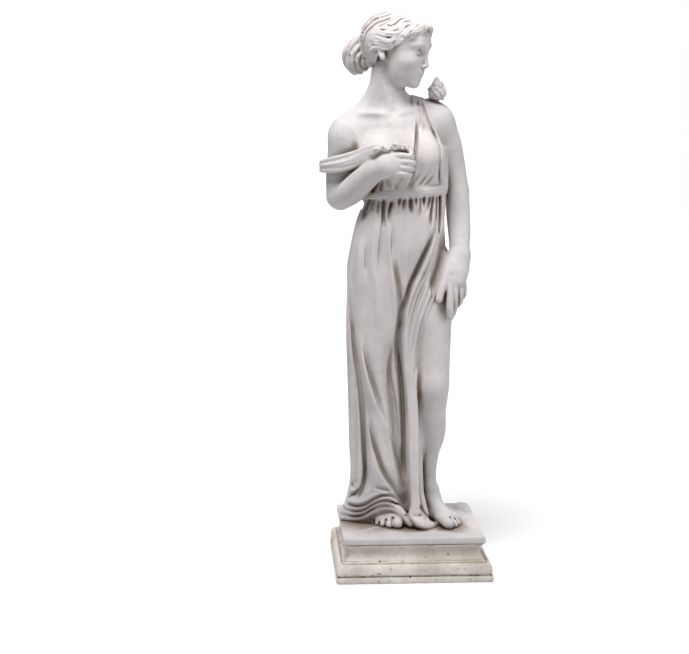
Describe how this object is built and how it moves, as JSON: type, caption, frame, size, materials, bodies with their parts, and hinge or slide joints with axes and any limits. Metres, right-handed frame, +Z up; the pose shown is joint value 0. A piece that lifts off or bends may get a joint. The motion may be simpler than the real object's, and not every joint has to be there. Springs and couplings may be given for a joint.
{
  "type": "floor-standing clay figurine",
  "caption": "Standing draped woman in weathered fibre clay on a thin slab and a square moulded plinth, for floor or garden.",
  "frame": {"origin": "middle of the plinth's underside", "axes": "+Z up, the figure faces -Y, +X towards the figure's left"},
  "size_m": [0.2448, 0.212, 0.8103],
  "materials": {
    "pale_clay": "matte, off-white, brown wash in the recesses",
    "weathered_clay": "matte, beige, pitted and worn at the edges"
  },
  "bodies": {
    "root": {"figure": "pale_clay", "plinth": "weathered_clay"}
  },
  "joints": []
}
